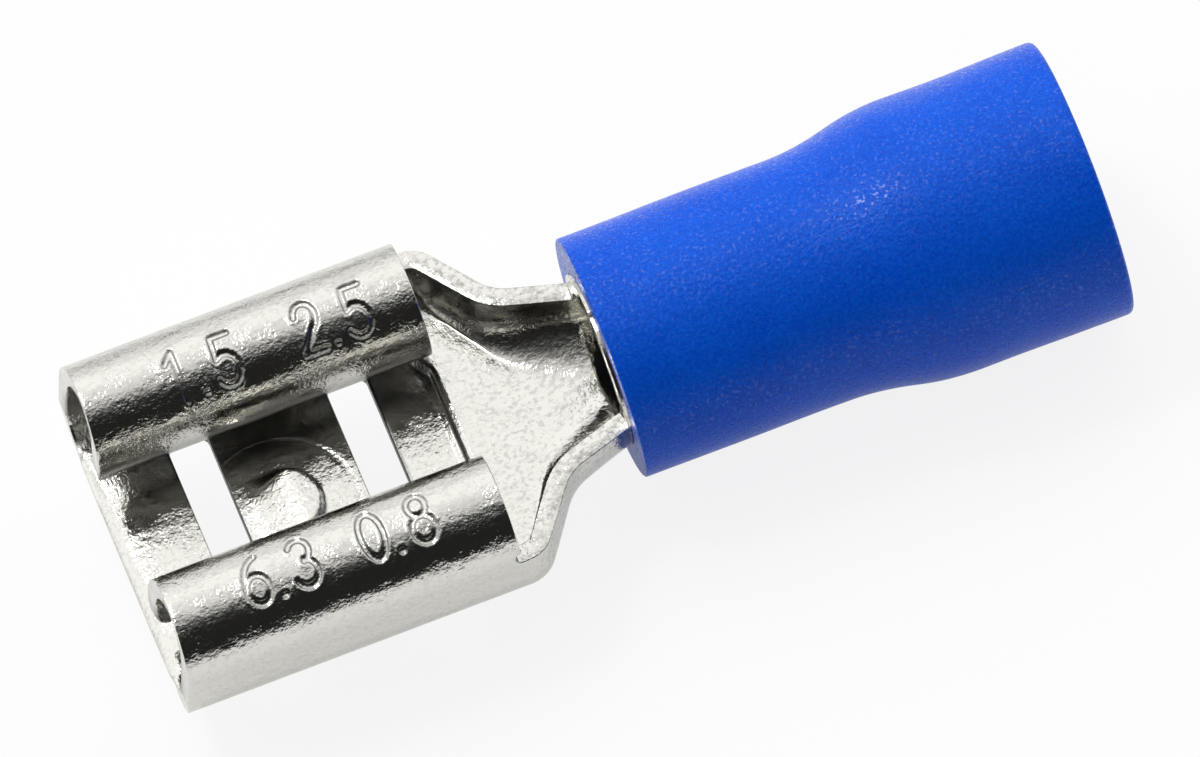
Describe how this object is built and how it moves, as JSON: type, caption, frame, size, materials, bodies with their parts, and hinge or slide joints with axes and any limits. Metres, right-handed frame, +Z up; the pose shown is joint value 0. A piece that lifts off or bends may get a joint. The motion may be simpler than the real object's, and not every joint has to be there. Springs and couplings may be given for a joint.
{
  "type": "female spade terminal",
  "caption": "Insulated female spade terminal: a rolled tinned-brass receptacle that grips a flat tab, with a crimp barrel under a flared plastic sleeve.",
  "frame": {"origin": "middle of the bounding box in X and Y, at the lowest point of the flared sleeve", "axes": "+X along the terminal from the mouth to the wire end, +Y across the receptacle, +Z up, out of the open side between the curls"},
  "size_m": [0.02, 0.0074, 0.0056],
  "materials": {
    "tinned_brass": "bright tin plate with a fine grain",
    "blue_pvc": "satin soft plastic with a fine grain"
  },
  "bodies": {
    "root": {"terminal": "tinned_brass", "insulating_sleeve": "blue_pvc"}
  },
  "joints": []
}
